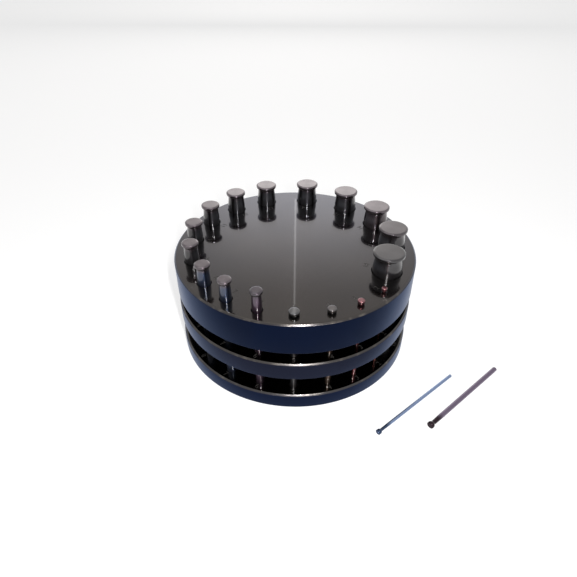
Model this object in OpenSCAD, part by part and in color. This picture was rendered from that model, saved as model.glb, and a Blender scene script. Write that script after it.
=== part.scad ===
// Round disc cutter: a guide plate, a die plate and a base plate of one diameter, held apart
// by two spacers, with a ring of headed punches that drop through line-bored holes.
// Millimetres, +Z up, origin at the centre of the underside of the base plate.

/* [Plates] */
// Diameter of the three round plates
plate_d = 155; // [150:1:170]
// Thickness of the upper plate, which guides the punches
guide_t = 22; // [20:0.5:26]
// Height of the slot that takes the sheet metal
sheet_slot_h = 8; // [6:0.5:10]
// Thickness of the die plate
die_t = 12.5; // [10:0.5:16]
// Height of the space that the cut discs drop into
drop_slot_h = 13.5; // [10:0.5:16]
// Thickness of the base plate
base_t = 11; // [10:0.5:14]
// Chamfer on the rims of the plates
rim_chamfer = 1; // [0.5:0.1:1.5]

/* [Bores] */
// Diameter of the smallest punch
smallest_d = 2; // [2:1:4]
// Diameter of the largest punch
largest_d = 18; // [12:1:18]
// Diameter of the circle that every bore touches from inside
bore_limit_d = 142; // [138:1:142]
// Radial play between a punch and its bore
bore_play = 0.05; // [0.02:0.01:0.1]
// Countersink at the mouth of each bore
bore_chamfer = 0.5; // [0.2:0.1:0.8]
// Bearing of the smallest bore, anticlockwise from +X
first_bearing = 317.5; // [300:0.5:330]
// Step from a punch under 4 mm to the next
fine_step = 15; // [14:0.5:15]
// Step from a punch of 4 to 7 mm to the next
small_step = 17.5; // [16:0.5:17.5]
// Step from a punch of 8 to 12 mm to the next
medium_step = 21.6; // [20:0.1:21.6]
// Step from a punch of 13 mm or more to the next
large_step = 27; // [25:0.5:27]

/* [Punches] */
// Length that every punch is cut to
punch_len = 70; // [66:1:76]
// How far a head stands out past its shank, all round
head_lip = 0.65; // [0.3:0.05:1]
// Thickness of a head from its struck face to its lower rim
head_t = 1.7; // [1.2:0.1:2.5]
// Distance from the struck face to the waist of the neck
waist_at = 4; // [3:0.5:5]
// Distance from the struck face to the full shank
neck_end = 11; // [8:0.5:12]
// Depth of the waist as a share of the shank diameter
waist_share = 0.07; // [0.02:0.01:0.1]
// Number of lengths that the flare of a neck is turned in
neck_steps = 8; // [4:1:12]
// Largest punch that drops through the base plate to the bench
through_d = 5; // [2:1:6]
// Extra diameter of the holes in the base plate
drop_hole_extra = 0.6; // [0.2:0.1:1]

/* [Spacers and fasteners] */
// Diameter of the two spacers
spacer_d = 80; // [74:1:84]
// Circle that the screws and dowels stand on
fastener_circle_d = 56; // [50:1:58]
// Number of clamp screws
screw_count = 4; // [3:1:4]
// Thread diameter of the clamp screws
screw_d = 6; // [5:1:6]
// Length of the clamp screws under the head
screw_len = 50; // [50:5:55]
// Diameter of the dowel pins
dowel_d = 8; // [6:1:8]
// Length of the dowel pins
dowel_len = 55; // [50:5:55]

/* [Spare punches] */
// Diameter of the first spare punch
spare_a_d = 2; // [2:1:4]
// Diameter of the second spare punch
spare_b_d = 3; // [2:1:5]
// Head end of the first spare punch on the bench
spare_a_at = [49, -96];
// Head end of the second spare punch on the bench
spare_b_at = [80, -91];
// Bearing that the first spare punch points along
spare_a_bearing = 41; // [35:1:50]
// Bearing that the second spare punch points along
spare_b_bearing = 42; // [35:1:50]

/* [Hidden] */
$fn = 96;
eps = 0.01;
drop_z = base_t;
die_z = drop_z + drop_slot_h;
slot_z = die_z + die_t;
guide_z = slot_z + sheet_slot_h;
top_z = guide_z + guide_t;
sizes = [for (d = [smallest_d:largest_d]) d];
through_sizes = [for (d = sizes) if (d <= through_d) d];

screw_head_d = screw_d * 5 / 3;
screw_head_h = screw_d;
screw_socket = screw_d * 5 / 6;
screw_clear_d = screw_d + 0.6;
screw_recess = screw_head_h + 0.5;
screw_tap_d = screw_d + 0.1;
screw_tip = 0.6;
recess_d = screw_head_d + 1;
dowel_hole_d = dowel_d + 0.02;
dowel_z = 1;
dowel_tip = 0.5;
blind_extra = 2;

function two_digits(d) = str(d < 10 ? "0" : "", d);

// Bearing and place of a bore: each starts from the next smaller one and steps clockwise
function step_after(d) =
    d < 4 ? fine_step : d < 8 ? small_step : d < 13 ? medium_step : large_step;
function bearing(d) =
    d <= smallest_d ? first_bearing : bearing(d - 1) - step_after(d - 1);
function bore_at(d) =
    (bore_limit_d - d) / 2 * [cos(bearing(d)), sin(bearing(d)), 0];
function foot_z(d) = d <= through_d ? 0 : base_t;

// A round plate with both rims chamfered, standing on z = 0
module disc(d, h, chamfer) {
    rotate_extrude()
        polygon([
            [0, 0], [d / 2 - chamfer, 0], [d / 2, chamfer],
            [d / 2, h - chamfer], [d / 2 - chamfer, h], [0, h]]);
}

// Places its children at every bore of the sizes given, with the size in $d
module at_bores(which) {
    for (d = which) {
        $d = d;
        translate(bore_at(d)) children();
    }
}

module at_screws() {
    for (i = [0:screw_count - 1])
        rotate([0, 0, 360 / screw_count * (i + 0.5)])
            translate([fastener_circle_d / 2, 0, 0]) children();
}

module at_dowels() {
    for (side = [0, 180])
        rotate([0, 0, side])
            translate([fastener_circle_d / 2, 0, 0]) children();
}

// A plain drilled hole from z0 to z1
module hole(d, z0, z1) {
    translate([0, 0, z0]) cylinder(d = d, h = z1 - z0);
}

// A countersink of 45 degrees whose mouth is at z, opening up or down
module countersink(d, z, opens_up) {
    wide = d + 2 * (bore_chamfer + eps);
    translate([0, 0, opens_up ? z - bore_chamfer : z - eps])
        cylinder(
            d1 = opens_up ? d : wide, d2 = opens_up ? wide : d,
            h = bore_chamfer + eps);
}

// Screw clearance holes and reamed dowel holes right through a plate or spacer
module fastener_holes(z0, z1) {
    at_screws() hole(screw_clear_d, z0 - eps, z1 + eps);
    at_dowels() hole(dowel_hole_d, z0 - eps, z1 + eps);
}

module guide_plate() {
    color([0.2, 0.2, 0.23])
        difference() {
            translate([0, 0, guide_z]) disc(plate_d, guide_t, rim_chamfer);
            at_bores(sizes) {
                hole($d + 2 * bore_play, guide_z - eps, top_z + eps);
                countersink($d + 2 * bore_play, top_z, true);
            }
            at_screws()
                hole(screw_tap_d, guide_z - eps, screw_recess + screw_len + blind_extra);
            at_dowels()
                hole(dowel_hole_d, guide_z - eps, dowel_z + dowel_len + blind_extra);
        }
}

module die_plate() {
    color([0.17, 0.17, 0.22])
        difference() {
            translate([0, 0, die_z]) disc(plate_d, die_t, rim_chamfer);
            at_bores(sizes) {
                hole($d + 2 * bore_play, die_z - eps, slot_z + eps);
                countersink($d + 2 * bore_play, die_z, false);
            }
            fastener_holes(die_z, slot_z);
        }
}

module base_plate() {
    color([0.14, 0.15, 0.2])
        difference() {
            disc(plate_d, base_t, rim_chamfer);
            at_bores(through_sizes) hole($d + drop_hole_extra, -eps, base_t + eps);
            fastener_holes(0, base_t);
            at_screws() hole(recess_d, -eps, screw_recess);
        }
}

module spacer(z0, z1) {
    difference() {
        translate([0, 0, z0]) disc(spacer_d, z1 - z0, rim_chamfer / 2);
        fastener_holes(z0, z1);
    }
}

module upper_spacer() {
    color([0.16, 0.16, 0.18]) spacer(slot_z, guide_z);
}

module lower_spacer() {
    color([0.16, 0.16, 0.18]) spacer(drop_z, die_z);
}

// Socket head cap screw, driven upwards from the underside of the base plate
module clamp_screw() {
    difference() {
        union() {
            translate([0, 0, screw_recess - screw_head_h])
                disc(screw_head_d, screw_head_h, screw_tip / 2);
            rotate_extrude()
                polygon([
                    [0, screw_recess - eps], [screw_d / 2, screw_recess - eps],
                    [screw_d / 2, screw_recess + screw_len - screw_tip],
                    [screw_d / 2 - screw_tip, screw_recess + screw_len],
                    [0, screw_recess + screw_len]]);
        }
        translate([0, 0, screw_recess - screw_head_h - eps])
            cylinder(d = screw_socket / cos(30), h = screw_head_h / 2, $fn = 6);
    }
}

module clamp_screws() {
    color([0.12, 0.12, 0.13]) at_screws() clamp_screw();
}

module dowel_pins() {
    color([0.7, 0.7, 0.72])
        at_dowels() translate([0, 0, dowel_z]) disc(dowel_d, dowel_len, dowel_tip);
}

// Radius of a neck at t from its waist, 0, to the full shank, 1: half a cosine wave
function neck_r(d, t) = d / 2 - d * waist_share * (1 + cos(180 * t)) / 2;

// One punch standing on z = 0: a flat cutting end, a plain shank, a neck that narrows to a
// waist, and a struck head with a bevelled edge
module punch(d) {
    head_r = d / 2 + head_lip;
    bevel = min(0.9, 0.28 * head_r);
    rotate_extrude($fn = 64)
        polygon(concat(
            [[0, 0], [d / 2, 0]],
            [for (i = [neck_steps:-1:0])
                [neck_r(d, i / neck_steps),
                 punch_len - waist_at - (neck_end - waist_at) * i / neck_steps]],
            [[neck_r(d, 0), punch_len - head_t - 2 * head_lip],
             [head_r, punch_len - head_t],
             [head_r, punch_len - bevel / 2],
             [head_r - bevel, punch_len],
             [0, punch_len]]));
}

module fitted_punch(d) {
    color([0.42, 0.4, 0.42]) translate(bore_at(d) + [0, 0, foot_z(d)]) punch(d);
}

// A punch lying on the bench on the rim of its head and the edge of its cutting end
module lying_punch(d, at, bearing) {
    tilt = atan(head_lip / (punch_len - head_t));
    color([0.42, 0.42, 0.5])
        translate([at.x, at.y, 0]) rotate([0, 0, bearing])
            translate([punch_len, 0, 0]) rotate([0, tilt, 0])
                translate([0, 0, d / 2]) rotate([0, -90, 0]) punch(d);
}

guide_plate();
die_plate();
base_plate();
upper_spacer();
lower_spacer();
clamp_screws();
dowel_pins();
for (d = sizes)
    fitted_punch(d);
lying_punch(spare_a_d, spare_a_at, spare_a_bearing);  // spare_punch_a
lying_punch(spare_b_d, spare_b_at, spare_b_bearing);  // spare_punch_b
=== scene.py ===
import bpy
import numpy as np
from mathutils import Matrix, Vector
from mathutils.geometry import delaunay_2d_cdt


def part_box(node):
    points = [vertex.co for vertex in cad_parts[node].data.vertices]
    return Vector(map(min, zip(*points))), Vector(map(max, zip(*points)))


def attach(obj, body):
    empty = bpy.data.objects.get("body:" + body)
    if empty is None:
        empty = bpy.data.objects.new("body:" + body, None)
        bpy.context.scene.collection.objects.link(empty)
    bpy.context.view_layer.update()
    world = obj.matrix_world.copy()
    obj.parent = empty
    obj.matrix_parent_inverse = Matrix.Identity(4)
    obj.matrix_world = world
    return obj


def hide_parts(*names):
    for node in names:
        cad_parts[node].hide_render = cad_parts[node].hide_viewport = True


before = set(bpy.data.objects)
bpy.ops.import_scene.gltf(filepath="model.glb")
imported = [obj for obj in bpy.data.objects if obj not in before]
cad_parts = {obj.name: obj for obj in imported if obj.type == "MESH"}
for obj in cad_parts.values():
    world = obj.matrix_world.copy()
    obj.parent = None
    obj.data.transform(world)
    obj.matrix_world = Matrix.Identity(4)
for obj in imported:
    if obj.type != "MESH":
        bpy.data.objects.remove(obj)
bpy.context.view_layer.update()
scene = bpy.context.scene

# Camera
# A short lens close above the bench, looking down at the tool from in front. Its place was
# worked out from the rims of the three plates, in a square picture.
camera = bpy.data.objects.new("camera", bpy.data.cameras.new("camera"))
camera.data.sensor_width = 36
camera.data.lens = 31.71
camera.location = (0.0003, -0.2793, 0.2463)
camera.rotation_euler = np.radians((52.54, -0.09, 0.99))
scene.collection.objects.link(camera)
scene.camera = camera


# Studio
# A pale bench that runs on to the horizon under a white room. Behind the tool is a window of
# light that fades upwards, with one thin bright line in it. A soft lamp hangs overhead, and a
# small bright one beside the lens makes the glints.
class Wire:
    """The output of a node. Sums and products of wires and numbers add Math nodes."""

    def __init__(self, tree, socket):
        self.tree, self.socket = tree, socket

    def maths(self, operation, other=0.0, swapped=False):
        """A Math node that takes this wire first, or second where they are swapped."""
        first, second = (other, self) if swapped else (self, other)
        return add_node(
            self.tree, "ShaderNodeMath", {"operation": operation}, {0: first, 1: second})

    def __add__(self, other):
        return self.maths("ADD", other)

    def __sub__(self, other):
        return self.maths("SUBTRACT", other)

    def __rsub__(self, other):
        return self.maths("SUBTRACT", other, swapped=True)

    def __mul__(self, other):
        return self.maths("MULTIPLY", other)

    def __abs__(self):
        return self.maths("ABSOLUTE")

    __radd__, __rmul__ = __add__, __mul__


def add_node(tree, kind, settings=None, inputs=None, output=0):
    """Adds a node: its settings come first, then the values or wires of its sockets."""
    node = tree.nodes.new(kind)
    for name, value in (settings or {}).items():
        setattr(node, name, value)
    for name, value in (inputs or {}).items():
        if isinstance(value, Wire):
            tree.links.new(value.socket, node.inputs[name])
        else:
            node.inputs[name].default_value = value
    return Wire(tree, node.outputs[output])


BENCH_SIZE = 8.0
BENCH_DROP = 0.0001
BENCH_GREY = 0.8
BENCH_ROUGHNESS = 0.9
BENCH_SHINE = 0.1
GLOW_SHARE = 0.35
GLOW_STRENGTH = 1.6
ROOM_LIGHT = 0.42
WHITE = (1, 1, 1, 1)


def seen_directly(tree):
    """1 for camera, mirror and glass rays, which see the white room, and 0 for other rays."""
    lens, mirror, glass = (
        add_node(tree, "ShaderNodeLightPath", output=name)
        for name in ("Is Camera Ray", "Is Glossy Ray", "Is Transmission Ray"))
    return lens.maths("MAXIMUM", mirror).maths("MAXIMUM", glass)


def bench_finish():
    """Matt pale paint that glows a little to the lens, so that it clips to white unshaded."""
    material = bpy.data.materials.new("bench")
    material.use_nodes = True
    tree = material.node_tree
    paint = tree.nodes["Principled BSDF"]
    paint.inputs["Base Color"].default_value = (BENCH_GREY, BENCH_GREY, BENCH_GREY, 1)
    paint.inputs["Roughness"].default_value = BENCH_ROUGHNESS
    paint.inputs["Specular IOR Level"].default_value = BENCH_SHINE
    glow = add_node(
        tree, "ShaderNodeEmission", inputs={"Color": WHITE, "Strength": GLOW_STRENGTH})
    mixed = add_node(
        tree, "ShaderNodeMixShader",
        inputs={0: seen_directly(tree) * GLOW_SHARE, 1: Wire(tree, paint.outputs[0]), 2: glow})
    tree.links.new(mixed.socket, tree.nodes["Material Output"].inputs["Surface"])
    return material


bench = bpy.data.objects.new("bench", bpy.data.meshes.new("bench"))
bench_corners = np.array([(-1, -1), (1, -1), (1, 1), (-1, 1)]) * BENCH_SIZE / 2
bench.data.from_pydata(
    np.column_stack([bench_corners, np.full(4, -BENCH_DROP)]).tolist(), [], [(0, 1, 2, 3)])
bench.data.materials.append(bench_finish())
scene.collection.objects.link(bench)

room = bpy.data.worlds.new("room")
room.use_nodes = True
room_tree = room.node_tree
room_tree.nodes["Background"].inputs["Color"].default_value = WHITE
strength = seen_directly(room_tree) * (1 - ROOM_LIGHT) + ROOM_LIGHT
room_tree.links.new(strength.socket, room_tree.nodes["Background"].inputs["Strength"])
scene.world = room


def soft_lamp(name, place, aim, size, brightness):
    """A rectangular lamp whose face is that many times as bright as a white wall."""
    lamp = bpy.data.lights.new(name, "AREA")
    lamp.shape = "RECTANGLE"
    lamp.size, lamp.size_y = size
    lamp.energy = brightness * np.pi * size[0] * size[1]
    shown = bpy.data.objects.new(name, lamp)
    east, north, up = np.array(place) - np.array(aim)
    turn = np.arctan2(east, -north)
    lean = np.arctan2(np.hypot(east, north), up)
    shown.location = place
    shown.rotation_euler = (lean, 0, turn)
    shown.visible_camera = False
    scene.collection.objects.link(shown)


WINDOW_Y = 1.1
WINDOW_HALF_WIDTH = 0.7
WINDOW_FOOT, WINDOW_TOP = 0.3, 1.3
WINDOW_BRIGHTNESS = 2.5
WINDOW_COLOUR = (1, 0.97, 0.95, 1)
FADE_OUTWARDS = (0.1, 0.5)
FADE_UPWARDS = (0.58, 1.0)


def window_glow():
    """Light that fades to the level of the white room at the top and the sides."""
    material = bpy.data.materials.new("window")
    material.use_nodes = True
    tree = material.node_tree
    where = add_node(tree, "ShaderNodeTexCoord", output="Object")
    east = add_node(tree, "ShaderNodeSeparateXYZ", inputs={0: where}, output=0)
    up = add_node(tree, "ShaderNodeSeparateXYZ", inputs={0: where}, output=2)
    sides, top = (
        add_node(
            tree, "ShaderNodeMapRange", {"interpolation_type": "SMOOTHSTEP"},
            {"Value": value, "From Min": start, "From Max": end, "To Min": 1, "To Max": 0})
        for value, (start, end) in ((abs(east), FADE_OUTWARDS), (up, FADE_UPWARDS)))
    glow = add_node(tree, "ShaderNodeEmission", inputs={
        "Color": WINDOW_COLOUR, "Strength": sides * top * (WINDOW_BRIGHTNESS - 1) + 1})
    tree.links.new(glow.socket, tree.nodes["Material Output"].inputs["Surface"])
    return material


window = bpy.data.objects.new("window", bpy.data.meshes.new("window"))
window.data.from_pydata(
    [(east, WINDOW_Y, up) for up in (WINDOW_FOOT, WINDOW_TOP)
     for east in (-WINDOW_HALF_WIDTH, WINDOW_HALF_WIDTH)], [], [(0, 1, 3, 2)])
window.data.materials.append(window_glow())
window.visible_camera = False
scene.collection.objects.link(window)

soft_lamp(
    "line_lamp", place=(-0.001, 1.0, 0.75), aim=(0, 0, 0.06), size=(0.005, 0.9),
    brightness=2.4)
soft_lamp(
    "overhead", place=(-0.25, 0.1, 1.2), aim=(0, 0, 0), size=(0.7, 0.7), brightness=1.0)
soft_lamp(
    "lens_lamp", place=(0.034, -0.305, 0.3), aim=(0, 0, 0.05), size=(0.006, 0.08),
    brightness=1100)


# Base plate
# A disc of ground steel, turned on both faces and the rim and blued black. It is the foot of
# the tool: four screws come up through it, and the smallest punches drop through to the bench.
PLATE_STEPS = 512
BORE_STEPS = 96
RIM_CHAMFER = 0.001
RIM_EDGE_EASE = 0.00022
SHARP_ANGLE = np.radians(28)
SAME_POINT = 1e-9


class Part:
    """Gathers rings of points and the faces between them into one closed mesh."""

    def __init__(self):
        self.points, self.faces, self.stamped, self.count = [], [], [], 0

    def add(self, points):
        """Keeps an array of points, whose last axis is x, y, z, and returns their numbers."""
        numbers = self.count + np.arange(points[..., 0].size).reshape(points.shape[:-1])
        self.points.append(points.reshape(-1, 3))
        self.count += numbers.size
        return numbers

    def rings(self, profile, centre=(0, 0), steps=BORE_STEPS):
        """Circles stacked along a profile of radius and height:
        x = cx + r cos a, y = cy + r sin a, z = h, with a in even steps round the circle."""
        angle = np.linspace(0, 2 * np.pi, steps, endpoint=False)
        radius, height = np.asarray(profile, float).T[:, :, None]
        across = centre[0] + radius * np.cos(angle)
        along = centre[1] + radius * np.sin(angle)
        return self.add(np.stack([across, along, height + 0 * angle], -1))

    def keep(self, faces, stamped):
        self.faces += faces.tolist()
        self.stamped += [stamped] * len(faces)

    def skin(self, rows, stamped=False):
        """Quads between neighbouring rows. They face out where rows climb an outer wall and
        into the hole where rows go down one."""
        low, high = rows[:-1], rows[1:]
        quads = np.stack([low, np.roll(low, -1, 1), np.roll(high, -1, 1), high], -1)
        self.keep(quads.reshape(-1, 4), stamped)

    def pole(self, row, height, centre=(0, 0), up=True):
        """Closes a ring with triangles that meet at one point on its axis."""
        apex = self.add(np.array([[centre[0], centre[1], height]]))[0]
        ahead = np.roll(row, -1)
        pair = (row, ahead) if up else (ahead, row)
        self.keep(np.stack([*pair, np.full(len(row), apex)], -1), False)

    def flat(self, loops, up=True, stamped=False):
        """A flat face between closed loops of points: triangles whose middle lies inside an
        odd number of the loops, as a ray from it to +X crosses them that often."""
        numbers = np.concatenate(loops)
        places = np.concatenate(self.points)[numbers, :2]
        starts = np.cumsum([0] + [len(loop) for loop in loops[:-1]])
        edges = np.concatenate([
            np.column_stack([np.arange(len(loop)), np.roll(np.arange(len(loop)), -1)]) + start
            for loop, start in zip(loops, starts)])
        found = delaunay_2d_cdt(places.tolist(), edges.tolist(), [], 1, SAME_POINT)
        triangles = np.array(found[2])
        middle = places[triangles].mean(1)[:, None]
        begin, end = places[edges[:, 0]], places[edges[:, 1]]
        spans = (begin[:, 1] > middle[..., 1]) != (end[:, 1] > middle[..., 1])
        rise = np.where(begin[:, 1] == end[:, 1], 1, end[:, 1] - begin[:, 1])
        share = (middle[..., 1] - begin[:, 1]) / rise
        crossing = begin[:, 0] + share * (end[:, 0] - begin[:, 0])
        solid = (spans & (crossing > middle[..., 0])).sum(1) % 2 == 1
        triangles = numbers[triangles[solid]]
        self.keep(triangles if up else triangles[:, ::-1], stamped)

    def finish(self, name, body, slot, nodes, material):
        """Makes the object, which stands for CAD nodes and moves with their body."""
        mesh = bpy.data.meshes.new(name)
        mesh.from_pydata(np.concatenate(self.points).tolist(), [], self.faces)
        mesh.shade_smooth()
        mesh.set_sharp_from_angle(angle=SHARP_ANGLE)
        mark = mesh.attributes.new("stamped", "FLOAT", "FACE")
        mark.data.foreach_set("value", np.array(self.stamped, np.float32))
        mesh.materials.append(material)
        piece = bpy.data.objects.new(name, mesh)
        scene.collection.objects.link(piece)
        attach(piece, body)
        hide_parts(*nodes)
        return piece


def rounded(corners, fillet, steps=4):
    """A profile whose inner corners are eased: each becomes a quadratic curve whose ends lie
    one fillet away from the corner along its two sides, and whose handle is the corner. A
    fillet takes less than half of a short side, so that two of them never meet."""
    longest_share = 0.45
    corners = np.asarray(corners, float)
    before = corners[:-2] - corners[1:-1]
    after = corners[2:] - corners[1:-1]
    reach = [
        np.minimum(fillet, np.linalg.norm(side, axis=1, keepdims=True) * longest_share)
        * side / np.linalg.norm(side, axis=1, keepdims=True) for side in (before, after)]
    share = np.linspace(0, 1, steps)[None, :, None]
    start, end = (corners[1:-1] + reach[0])[:, None], (corners[1:-1] + reach[1])[:, None]
    bend = start * (1 - share) ** 2 + corners[1:-1, None] * 2 * share * (1 - share) + end * share**2
    return np.concatenate([corners[:1], bend.reshape(-1, 2), corners[-1:]])


def numeral_loops(number, height, middle, bearing):
    """Outlines of a number, as closed loops of x and y: each piece of an outline is a cubic
    curve between two points and their handles. The number reads upright from outside the rim."""
    text = bpy.data.curves.new("numeral", "FONT")
    text.body = str(number)
    text.size = height / FIGURE_SHARE
    text.align_x, text.align_y = "CENTER", "CENTER"
    holder = bpy.data.objects.new("numeral", text)
    scene.collection.objects.link(holder)
    outline = holder.to_curve(bpy.context.evaluated_depsgraph_get())
    turn = bearing + np.pi / 2
    cos, sin = np.cos(turn), np.sin(turn)
    share = np.linspace(0, 1, NUMERAL_STEPS, endpoint=False)[None, :, None]
    loops = []
    for spline in outline.splines:
        knots = spline.bezier_points
        point, left, right = (
            np.array([getattr(k, part)[:2] for k in knots])[:, None]
            for part in ("co", "handle_left", "handle_right"))
        ahead, handle = np.roll(point, -1, 0), np.roll(left, -1, 0)
        curve = (point * (1 - share) ** 3 + right * 3 * share * (1 - share) ** 2
                 + handle * 3 * share**2 * (1 - share) + ahead * share**3).reshape(-1, 2)
        curve = curve[np.linalg.norm(curve - np.roll(curve, 1, 0), axis=1) > SHORTEST_STEP]
        loops.append(curve @ np.array([[cos, sin], [-sin, cos]]) + middle)
    holder.to_curve_clear()
    bpy.data.objects.remove(holder)
    bpy.data.curves.remove(text)
    area = [np.sum(p[:, 0] * np.roll(p[:, 1], -1) - p[:, 1] * np.roll(p[:, 0], -1)) for p in loops]
    clockwise = area[int(np.argmax(np.abs(area)))] < 0
    return [loop[::-1] if clockwise else loop for loop in loops]


NUMERAL_STEPS = 4
SHORTEST_STEP = 1e-6
FIGURE_SHARE = 0.72
NUMERAL_HEIGHT = 0.0034
NUMERAL_DEPTH = 0.00025
LEDGE_NUMERAL_RADIUS = 0.0738
SCREW_CIRCLE = 0.028
SCREW_BEARINGS = np.radians((45, 135, 225, 315))
DOWEL_BEARINGS = np.radians((0, 180))
SCREW_HOLE = 0.0033
RECESS_RADIUS = 0.0055
RECESS_TOP = 0.0065
DOWEL_HOLE = 0.00401
DROP_HOLE_PLAY = 0.0003
THROUGH_SIZE = 5
HALF_MILLIMETRE = 0.0005

punch_nodes = sorted(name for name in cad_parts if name.startswith("punch_"))
punch_sizes = [int(name[6:8]) for name in punch_nodes]
punch_axes = {}
for size, node in zip(punch_sizes, punch_nodes):
    low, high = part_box(node)
    punch_axes[size] = np.array(((low + high) / 2)[:2])


def straight_hole(radius, low, high, mouth=0.0, foot=0.0):
    """Profile of a drilled hole from its upper to its lower mouth, each with a countersink."""
    corners = [(radius, high - mouth), (radius, low + foot)]
    top = [(radius + mouth, high)] if mouth else []
    bottom = [(radius + foot, low)] if foot else []
    return top + corners + bottom


def make_plate(node, holes, material, number_places):
    """A turned disc with chamfered rims, holes right through, blind holes from below and
    size numbers struck into its upper face. A hole is (centre, profile, blind)."""
    low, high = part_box(node)
    radius = high.x
    part = Part()
    rim = rounded([
        (radius - 2 * RIM_CHAMFER, low.z), (radius - RIM_CHAMFER, low.z),
        (radius, low.z + RIM_CHAMFER), (radius, high.z - RIM_CHAMFER),
        (radius - RIM_CHAMFER, high.z), (radius - 2 * RIM_CHAMFER, high.z)], RIM_EDGE_EASE)
    rows = part.rings(rim, steps=PLATE_STEPS)
    part.skin(rows)
    upper, lower = [rows[-1]], [rows[0]]
    for centre, profile, blind in holes:
        rows = part.rings(profile, centre)
        part.skin(rows)
        if blind:
            part.pole(rows[0], profile[0][1], centre, up=False)
        else:
            upper.append(rows[0])
        lower.append(rows[-1])
    for number, (middle, bearing) in number_places.items():
        loops = numeral_loops(number, NUMERAL_HEIGHT, middle, bearing)
        floors = []
        for loop in loops:
            heights = np.array([high.z, high.z - NUMERAL_DEPTH])
            xy = np.broadcast_to(loop, (2, *loop.shape))
            z = np.broadcast_to(heights[:, None, None], (2, len(loop), 1))
            rows = part.add(np.concatenate([xy, z], -1))
            part.skin(rows, stamped=True)
            upper.append(rows[0])
            floors.append(rows[1])
        part.flat(floors, stamped=True)
    part.flat(upper)
    part.flat(lower, up=False)
    return part.finish(node + "_blued", "plate_stack", "blued_plate", [node], material)


def on_circle(radius, bearing):
    return radius * np.array((np.cos(bearing), np.sin(bearing)))


def ledge_numbers():
    """Each size number stands outside its bore, on the same bearing."""
    bearings = {size: np.arctan2(y, x) for size, (x, y) in punch_axes.items()}
    return {
        size: (on_circle(LEDGE_NUMERAL_RADIUS, bearing), bearing)
        for size, bearing in bearings.items()}


class Finish:
    """A procedural finish on one principled shader."""

    def __init__(self, name, **constants):
        self.material = bpy.data.materials.new(name)
        self.material.use_nodes = True
        self.tree = self.material.node_tree
        self.shader = self.tree.nodes["Principled BSDF"]
        for socket, value in constants.items():
            self.shader.inputs[socket.replace("_", " ")].default_value = value

    def node(self, kind, settings=None, inputs=None, output=0):
        return add_node(self.tree, kind, settings, inputs, output)

    def feed(self, socket, wire):
        self.tree.links.new(wire.socket, self.shader.inputs[socket])

    def place(self, centre=(0, 0, 0)):
        """Object coordinates about a point."""
        where = self.node("ShaderNodeTexCoord", output="Object")
        return self.node(
            "ShaderNodeVectorMath", {"operation": "SUBTRACT"}, {0: where, 1: centre})

    def noise(self, where, scale, detail, rough=0.5):
        """Cloudy noise of about 0 to 1 with that many lumps a metre."""
        return self.node("ShaderNodeTexNoise", inputs={
            "Vector": where, "Scale": scale, "Detail": detail, "Roughness": rough})

    def grooves(self, along, scale):
        """Noise that depends on one length only, such as the tool marks of a lathe, with that
        many marks a metre."""
        return self.node(
            "ShaderNodeTexNoise", {"noise_dimensions": "1D"},
            {"W": along * scale, "Scale": 1.0, "Detail": 3.0, "Roughness": 0.6})

    def bump(self, height, depth):
        """Raises the surface by a height of 0 to 1 times that depth."""
        self.feed("Normal", self.node("ShaderNodeBump", inputs={
            "Strength": 1.0, "Distance": depth, "Height": height}))

    def ease(self, value, low, high):
        """0 below low, 1 above high and a smooth step between them."""
        return self.node(
            "ShaderNodeMapRange", {"interpolation_type": "SMOOTHSTEP"},
            {"Value": value, "From Min": low, "From Max": high})

    def blend(self, share, first, second):
        """A colour between two colours."""
        return self.node(
            "ShaderNodeMix", {"data_type": "RGBA"}, {0: share, 6: first, 7: second}, output=2)

    def split(self, vector, axis):
        return self.node("ShaderNodeSeparateXYZ", inputs={0: vector}, output=axis)

    def length(self, vector, keep=(1, 1, 0)):
        """Length of a vector after each part is multiplied by keep."""
        kept = self.node("ShaderNodeVectorMath", {"operation": "MULTIPLY"}, {0: vector, 1: keep})
        return self.node("ShaderNodeVectorMath", {"operation": "LENGTH"}, {0: kept}, output=1)


# The lighter chamfer colour: its even line along every chamfer is a painted edge highlight, its
# brighter patches are wear.
WORN_AND_HIGHLIGHT_COLOUR = (0.3, 0.27, 0.23, 1)
DEEPEST_BLUEING = (0.006, 0.006, 0.007, 1)
STAMP_COLOUR = (0.09, 0.085, 0.08, 1)
# Tints every reflection of the metal blue, a painted reflection of blue surroundings.
BLUE_REFLECTION_TINT = (0.75, 0.82, 1, 1)
EVEN_EDGE_HIGHLIGHT, MORE_WEAR = 0.12, 0.35
FACE_ROUGHNESS, RIM_ROUGHNESS = 0.1, 0.22
SMEAR_ROUGHNESS, CLOUD_ROUGHNESS, STAMP_ROUGHNESS = 0.1, 0.06, 0.3
OIL_ON_FACE = 0.7
PLATE_MARK_DEPTH = 0.000012


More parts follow.
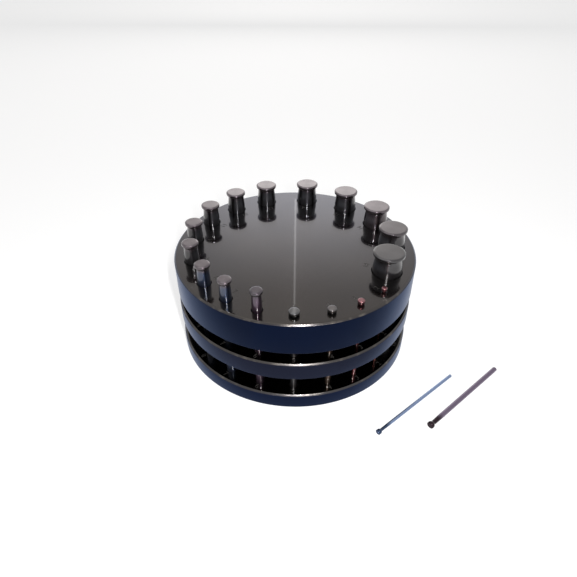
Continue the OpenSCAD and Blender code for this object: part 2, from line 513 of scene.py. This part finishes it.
def blued_steel(name, rim_painted_reflection, face_painted_reflection, shift=0.0):
    """Turned steel blued blue-black, lightly oiled on the flat faces, with fine tool marks round
    the axis.
    Its colour is browner on the flat faces and bluer on the rim, a painted reflection of the
    surroundings, and its reflections are tinted blue, also a painted reflection.
    Every chamfer has an even lighter line, a painted edge highlight, and is worn bright here and
    there. The shift moves the clouds, so that no two plates look the same."""
    finish = Finish(
        name, Metallic=1.0, Anisotropic=0.5, Anisotropic_Rotation=0.25,
        Specular_Tint=BLUE_REFLECTION_TINT, Coat_Roughness=0.03)
    where = finish.place((0, 0, shift))
    normal = finish.node("ShaderNodeTexCoord", output="Normal")
    upright = finish.length(normal, (0, 0, 1))
    is_face = finish.ease(upright, 0.5, 0.95)
    is_edge = finish.ease(upright, 0.2, 0.6) * (1 - finish.ease(upright, 0.8, 0.97))
    radius = finish.length(where)
    height = finish.split(where, 2)
    clouds = finish.noise(where, scale=38, detail=3)
    smears = finish.noise(where, scale=16, detail=4, rough=0.6)
    patches = finish.noise(where, scale=120, detail=4, rough=0.65)
    # Bluer on the rim and browner on the flat faces, by which way the surface faces: a painted
    # reflection of the surroundings.
    blueing_with_painted_reflection = finish.blend(is_face, rim_painted_reflection, face_painted_reflection)
    dulled = finish.blend(clouds * 0.5, blueing_with_painted_reflection, DEEPEST_BLUEING)
    # Every chamfer gets an even lighter line, which is a painted edge highlight, and brighter
    # patches of wear on top of it.
    rubbed_and_edge_highlight = (finish.ease(patches, 0.5, 0.75) * MORE_WEAR + EVEN_EDGE_HIGHLIGHT) * is_edge
    stamp = finish.node("ShaderNodeAttribute", {"attribute_name": "stamped"}, output="Fac")
    coloured = finish.blend(rubbed_and_edge_highlight, dulled, WORN_AND_HIGHLIGHT_COLOUR)
    finish.feed("Base Color", finish.blend(stamp, coloured, STAMP_COLOUR))
    finish.feed(
        "Roughness", smears * SMEAR_ROUGHNESS + clouds * CLOUD_ROUGHNESS + FACE_ROUGHNESS
        + (1 - is_face) * (RIM_ROUGHNESS - FACE_ROUGHNESS) + stamp * STAMP_ROUGHNESS)
    finish.feed("Coat Weight", is_face * OIL_ON_FACE)
    across = is_face * radius + (1 - is_face) * height
    marks = finish.grooves(across, 2600) + finish.grooves(across, 380) * 1.5
    finish.bump(marks, PLATE_MARK_DEPTH)
    return finish.material


# The bluer rim and browner face colours are a painted reflection of the surroundings.
BASE_RIM_REFLECTION_BLUE = (0.006, 0.011, 0.034, 1)
BASE_FACE_REFLECTION_BROWN = (0.03, 0.026, 0.022, 1)
base_low, base_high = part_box("base_plate")
base_holes = [
    (punch_axes[size], straight_hole(
        size * HALF_MILLIMETRE + DROP_HOLE_PLAY, base_low.z, base_high.z), False)
    for size in punch_sizes if size <= THROUGH_SIZE]
base_holes += [
    (on_circle(SCREW_CIRCLE, bearing), [
        (SCREW_HOLE, base_high.z), (SCREW_HOLE, RECESS_TOP), (RECESS_RADIUS, RECESS_TOP),
        (RECESS_RADIUS, base_low.z)], False)
    for bearing in SCREW_BEARINGS]
base_holes += [
    (on_circle(SCREW_CIRCLE, bearing), straight_hole(DOWEL_HOLE, base_low.z, base_high.z), False)
    for bearing in DOWEL_BEARINGS]
make_plate(
    "base_plate", base_holes,
    blued_steel("base_plate_blueing", BASE_RIM_REFLECTION_BLUE, BASE_FACE_REFLECTION_BROWN, shift=0.3),
    ledge_numbers())


# Lower spacer
# A plain black steel disc, clamped between the base plate and the die plate, that leaves the
# space which the cut discs fall into. It keeps its drilled holes and its turned edge.
SPACER_COLOUR = (0.02, 0.019, 0.018, 1)
DEEPEST_BLACK = (0.008, 0.008, 0.009, 1)
BLACK_MARK_DEPTH = 0.000008


def black_steel(name, colour, roughness):
    """Plain steel dipped black, with a faint cloudy bloom and fine marks along its height."""
    finish = Finish(name, Metallic=1.0)
    where = finish.place()
    clouds = finish.noise(where, scale=60, detail=3)
    finish.feed("Base Color", finish.blend(clouds * 0.6, colour, DEEPEST_BLACK))
    finish.feed("Roughness", clouds * 0.15 + roughness)
    finish.bump(finish.grooves(finish.split(where, 2), 2200), BLACK_MARK_DEPTH)
    return finish.material


def dress(node, material):
    """Gives a CAD node its finish."""
    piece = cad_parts[node]
    piece.data.materials.clear()
    piece.data.materials.append(material)


spacer_black = black_steel("spacer_black", SPACER_COLOUR, roughness=0.3)
dress("lower_spacer", spacer_black)

# Die plate
# The plate that the punches shear the metal against. It is blued like the others, its bores
# are line-bored with those of the guide plate, and they open a little on the underside.
# The bluer rim and browner face colours are a painted reflection of the surroundings.
DIE_RIM_REFLECTION_GREY = (0.013, 0.015, 0.03, 1)
DIE_FACE_REFLECTION_BROWN = (0.03, 0.025, 0.019, 1)
BORE_PLAY = 0.00005
BORE_CHAMFER = 0.0005
die_low, die_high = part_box("die_plate")
die_holes = [
    (punch_axes[size], straight_hole(
        size * HALF_MILLIMETRE + BORE_PLAY, die_low.z, die_high.z, foot=BORE_CHAMFER), False)
    for size in punch_sizes]
die_holes += [
    (on_circle(SCREW_CIRCLE, bearing), straight_hole(radius, die_low.z, die_high.z), False)
    for bearings, radius in ((SCREW_BEARINGS, SCREW_HOLE), (DOWEL_BEARINGS, DOWEL_HOLE))
    for bearing in bearings]
make_plate(
    "die_plate", die_holes,
    blued_steel("die_plate_blueing", DIE_RIM_REFLECTION_GREY, DIE_FACE_REFLECTION_BROWN, shift=0.6),
    ledge_numbers())

# Upper spacer
# The same black steel disc again, thinner, between the die plate and the guide plate. It sets
# the slot that takes the sheet metal.
dress("upper_spacer", spacer_black)

# Guide plate
# The thick upper plate that keeps the punches square to the metal. Its bores are countersunk
# on top, and four tapped and two reamed blind holes in its underside take screws and dowels.
# The bluer rim and browner face colours are a painted reflection of the surroundings.
GUIDE_RIM_REFLECTION_BLUE = (0.003, 0.007, 0.024, 1)
GUIDE_FACE_REFLECTION_BROWN = (0.034, 0.027, 0.021, 1)
TOP_NUMERAL_GAP = 0.0042
TAPPED_RADIUS = 0.00305
TAPPED_END = 0.0585
DOWEL_HOLE_END = 0.058
guide_low, guide_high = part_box("guide_plate")
guide_holes = [
    (punch_axes[size], straight_hole(
        size * HALF_MILLIMETRE + BORE_PLAY, guide_low.z, guide_high.z, mouth=BORE_CHAMFER),
        False)
    for size in punch_sizes]
guide_holes += [
    (on_circle(SCREW_CIRCLE, bearing), [(radius, end), (radius, guide_low.z)], True)
    for bearings, radius, end in (
        (SCREW_BEARINGS, TAPPED_RADIUS, TAPPED_END),
        (DOWEL_BEARINGS, DOWEL_HOLE, DOWEL_HOLE_END))
    for bearing in bearings]


def top_numbers():
    """Each size number stands inside its bore, on the same bearing."""
    places = {}
    for size, (x, y) in punch_axes.items():
        bearing = np.arctan2(y, x)
        reach = np.hypot(x, y) - size * HALF_MILLIMETRE - TOP_NUMERAL_GAP
        places[size] = (on_circle(reach, bearing), bearing)
    return places


make_plate(
    "guide_plate", guide_holes,
    blued_steel("guide_plate_blueing", GUIDE_RIM_REFLECTION_BLUE, GUIDE_FACE_REFLECTION_BROWN),
    top_numbers())

# Clamp screws
# Four black M6 socket head cap screws, driven up from the underside of the base plate into
# the guide plate, which clamp the whole stack together.
SCREW_COLOUR = (0.03, 0.03, 0.032, 1)
dress("clamp_screws", black_steel("screw_black", SCREW_COLOUR, roughness=0.35))


# Dowel pins
# Two hardened and ground 8 mm pins, pressed through the stack, that keep the three bores of
# each size in line.
PIN_BRIGHT = (0.6, 0.6, 0.61, 1)
PIN_DULL = (0.42, 0.42, 0.43, 1)
PIN_MARK_DEPTH = 0.000004


def ground_steel(name):
    """Bright hardened steel with fine grinding marks round each pin."""
    finish = Finish(name, Metallic=1.0)
    where = finish.place()
    haze = finish.noise(where, scale=90, detail=3)
    finish.feed("Base Color", finish.blend(haze, PIN_BRIGHT, PIN_DULL))
    finish.feed("Roughness", haze * 0.12 + 0.2)
    finish.bump(finish.grooves(finish.split(where, 2), 3000), PIN_MARK_DEPTH)
    return finish.material


dress("dowel_pins", ground_steel("pin_grey"))

# Punches
# Seventeen hardened steel punches from 2 to 18 mm, turned and polished, with a flat cutting
# end, a narrower neck and a struck head with a bevelled edge. Each slides in its own bores,
# and the heat of hardening left some of them purple, blue or copper red.
PUNCH_STEPS = 128
PUNCH_LENGTH = 0.070
HEAD_LIP = 0.00065
HEAD_THICK = 0.0017
HEAD_EDGE_EASE = 0.00018
WAIST_AT = 0.004
NECK_END = 0.011
WAIST_SHARE = 0.04
NECK_STEPS = 24
TIP_HEIGHT = 0.004
TIP_EDGE_EASE = 0.00006
BEVEL_MOST = 0.0009
BEVEL_SHARE = 0.28


def punch_profile(size):
    """Radius and height of a punch from its tip. The neck narrows by half a cosine wave: its
    radius is half the size less a share of the size times (1 + cos(180 t)) / 2, with t from
    0 at the waist to 1 at the full shank."""
    radius = size * HALF_MILLIMETRE
    head = radius + HEAD_LIP
    bevel = min(BEVEL_MOST, BEVEL_SHARE * head)
    t = np.linspace(1, 0, NECK_STEPS)
    neck = radius - WAIST_SHARE * 2 * radius * (1 + np.cos(np.pi * t)) / 2
    neck_height = PUNCH_LENGTH - WAIST_AT - (NECK_END - WAIST_AT) * t
    tip = rounded([(radius * 0.8, 0), (radius, 0), (radius, TIP_HEIGHT)], TIP_EDGE_EASE, 3)
    top = rounded([
        (neck[-1], neck_height[-1]), (neck[-1], PUNCH_LENGTH - HEAD_THICK - 2 * HEAD_LIP),
        (head, PUNCH_LENGTH - HEAD_THICK), (head, PUNCH_LENGTH - bevel / 2),
        (head - bevel, PUNCH_LENGTH), ((head - bevel) * 0.9, PUNCH_LENGTH)], HEAD_EDGE_EASE)
    return np.concatenate([tip, np.column_stack([neck, neck_height]), top[1:]])


DARKEST_POLISH = (0.04, 0.038, 0.04, 1)
HEAD_TONE_FROM, HEAD_TONE_TO = 0.006, 0.002
PUNCH_MARK_DEPTH = 0.000008


def polished_steel(name, centre, foot, shank_colour, head_colour):
    """Polished hardened steel under a film of oil, toned by heat, with the head in its own
    tone and fine tool marks round the axis."""
    finish = Finish(
        name, Metallic=1.0, Anisotropic=0.8, Anisotropic_Rotation=0.25, Coat_Weight=1.0,
        Coat_Roughness=0.05)
    where = finish.place((*centre, foot))
    normal = finish.node("ShaderNodeTexCoord", output="Normal")
    is_face = finish.ease(finish.length(normal, (0, 0, 1)), 0.9, 0.99)
    radius = finish.length(where)
    height = finish.split(where, 2)
    is_head = finish.ease(height, PUNCH_LENGTH - HEAD_TONE_FROM, PUNCH_LENGTH - HEAD_TONE_TO)
    haze = finish.noise(where, scale=150, detail=3)
    toned = finish.blend(is_head, shank_colour, head_colour)
    finish.feed("Base Color", finish.blend(haze * 0.3, toned, DARKEST_POLISH))
    finish.feed("Roughness", haze * 0.08 + 0.26)
    across = is_face * radius + (1 - is_face) * height
    finish.bump(finish.grooves(across, 3200) + finish.grooves(across, 500), PUNCH_MARK_DEPTH)
    return finish.material


PLAIN_SHANK = (0.035, 0.032, 0.034, 1)
PLAIN_HEAD = (0.085, 0.066, 0.076, 1)
shank_tones = {
    2: (0.2, 0.06, 0.05, 1), 3: (0.2, 0.05, 0.055, 1), 4: (0.12, 0.08, 0.06, 1),
    6: (0.07, 0.04, 0.07, 1), 7: (0.03, 0.045, 0.09, 1), 8: (0.03, 0.045, 0.09, 1),
    16: (0.06, 0.045, 0.048, 1)}
head_tones = {
    2: (0.2, 0.07, 0.08, 1), 3: (0.2, 0.07, 0.08, 1), 4: (0.09, 0.08, 0.08, 1),
    5: (0.07, 0.07, 0.072, 1), 6: (0.045, 0.034, 0.045, 1), 17: (0.05, 0.04, 0.046, 1),
    18: (0.035, 0.032, 0.035, 1)}
for size, node in zip(punch_sizes, punch_nodes):
    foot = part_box(node)[0].z
    profile = punch_profile(size) + (0, foot)
    part = Part()
    rows = part.rings(profile, punch_axes[size], PUNCH_STEPS)
    part.skin(rows)
    part.pole(rows[0], profile[0][1], punch_axes[size], up=False)
    part.pole(rows[-1], profile[-1][1], punch_axes[size])
    steel = polished_steel(
        node + "_steel", punch_axes[size], foot, shank_tones.get(size, PLAIN_SHANK),
        head_tones.get(size, PLAIN_HEAD))
    part.finish(node + "_polished", node, "punch_steel", [node], steel)


# Spare punches
# A 2 mm and a 3 mm punch of the same make, lying loose on the bench on the rim of the head
# and the edge of the cutting end. One is pale blue, a painted reflection of blue surroundings; heat
# left the other purple, and both have a darker neck.
SPARE_STEPS = 48
SPARE_MARK_DEPTH = 0.000006
# The pale blue of this shank and neck is a painted reflection of blue surroundings; the neck is
# darker.
PAINTED_BLUE_SHANK, PAINTED_BLUE_NECK = (0.2, 0.26, 0.4, 1), (0.04, 0.06, 0.11, 1)
PURPLE_SHANK, PURPLE_NECK = (0.15, 0.12, 0.17, 1), (0.03, 0.02, 0.025, 1)
DARK_TO, BRIGHT_FROM = 0.009, 0.014


def bright_steel(name, start, direction, shank_colour, neck_colour):
    """Bright drawn steel, darkened over the neck and head by heat."""
    finish = Finish(name, Metallic=1.0)
    where = finish.place((*start, 0))
    along = finish.node(
        "ShaderNodeVectorMath", {"operation": "DOT_PRODUCT"},
        {0: where, 1: direction}, output=1)
    haze = finish.noise(where, scale=180, detail=3)
    shade = finish.ease(along + haze * 0.004, DARK_TO, BRIGHT_FROM)
    finish.feed("Base Color", finish.blend(shade, neck_colour, shank_colour))
    finish.feed("Roughness", haze * 0.15 + 0.16)
    finish.bump(finish.grooves(along, 3000), SPARE_MARK_DEPTH)
    return finish.material


def lay_on_bench(node, size, head_at, bearing, shank_colour, neck_colour):
    """A punch tipped over about its head, leaning by the slope from its tip's edge to the rim
    of its head, and pointing along a bearing in degrees from +X."""
    profile = punch_profile(size)
    part = Part()
    rows = part.rings(profile, steps=SPARE_STEPS)
    part.skin(rows)
    part.pole(rows[0], profile[0][1], up=False)
    part.pole(rows[-1], profile[-1][1])
    turn = np.radians(bearing)
    steel = bright_steel(
        node + "_steel", head_at, (np.cos(turn), np.sin(turn), 0), shank_colour, neck_colour)
    piece = part.finish(node + "_bright", node, "spare_punch_steel", [node], steel)
    lean = np.arctan(HEAD_LIP / (PUNCH_LENGTH - HEAD_THICK))
    piece.data.transform(
        Matrix.Translation((*head_at, 0)) @ Matrix.Rotation(turn, 4, "Z")
        @ Matrix.Translation((PUNCH_LENGTH, 0, 0)) @ Matrix.Rotation(lean, 4, "Y")
        @ Matrix.Translation((0, 0, size * HALF_MILLIMETRE))
        @ Matrix.Rotation(-np.pi / 2, 4, "Y"))


lay_on_bench("spare_punch_a", 2, (0.049, -0.096), 41, PAINTED_BLUE_SHANK, PAINTED_BLUE_NECK)
lay_on_bench("spare_punch_b", 3, (0.080, -0.091), 42, PURPLE_SHANK, PURPLE_NECK)

scene.view_settings.view_transform = "Standard"
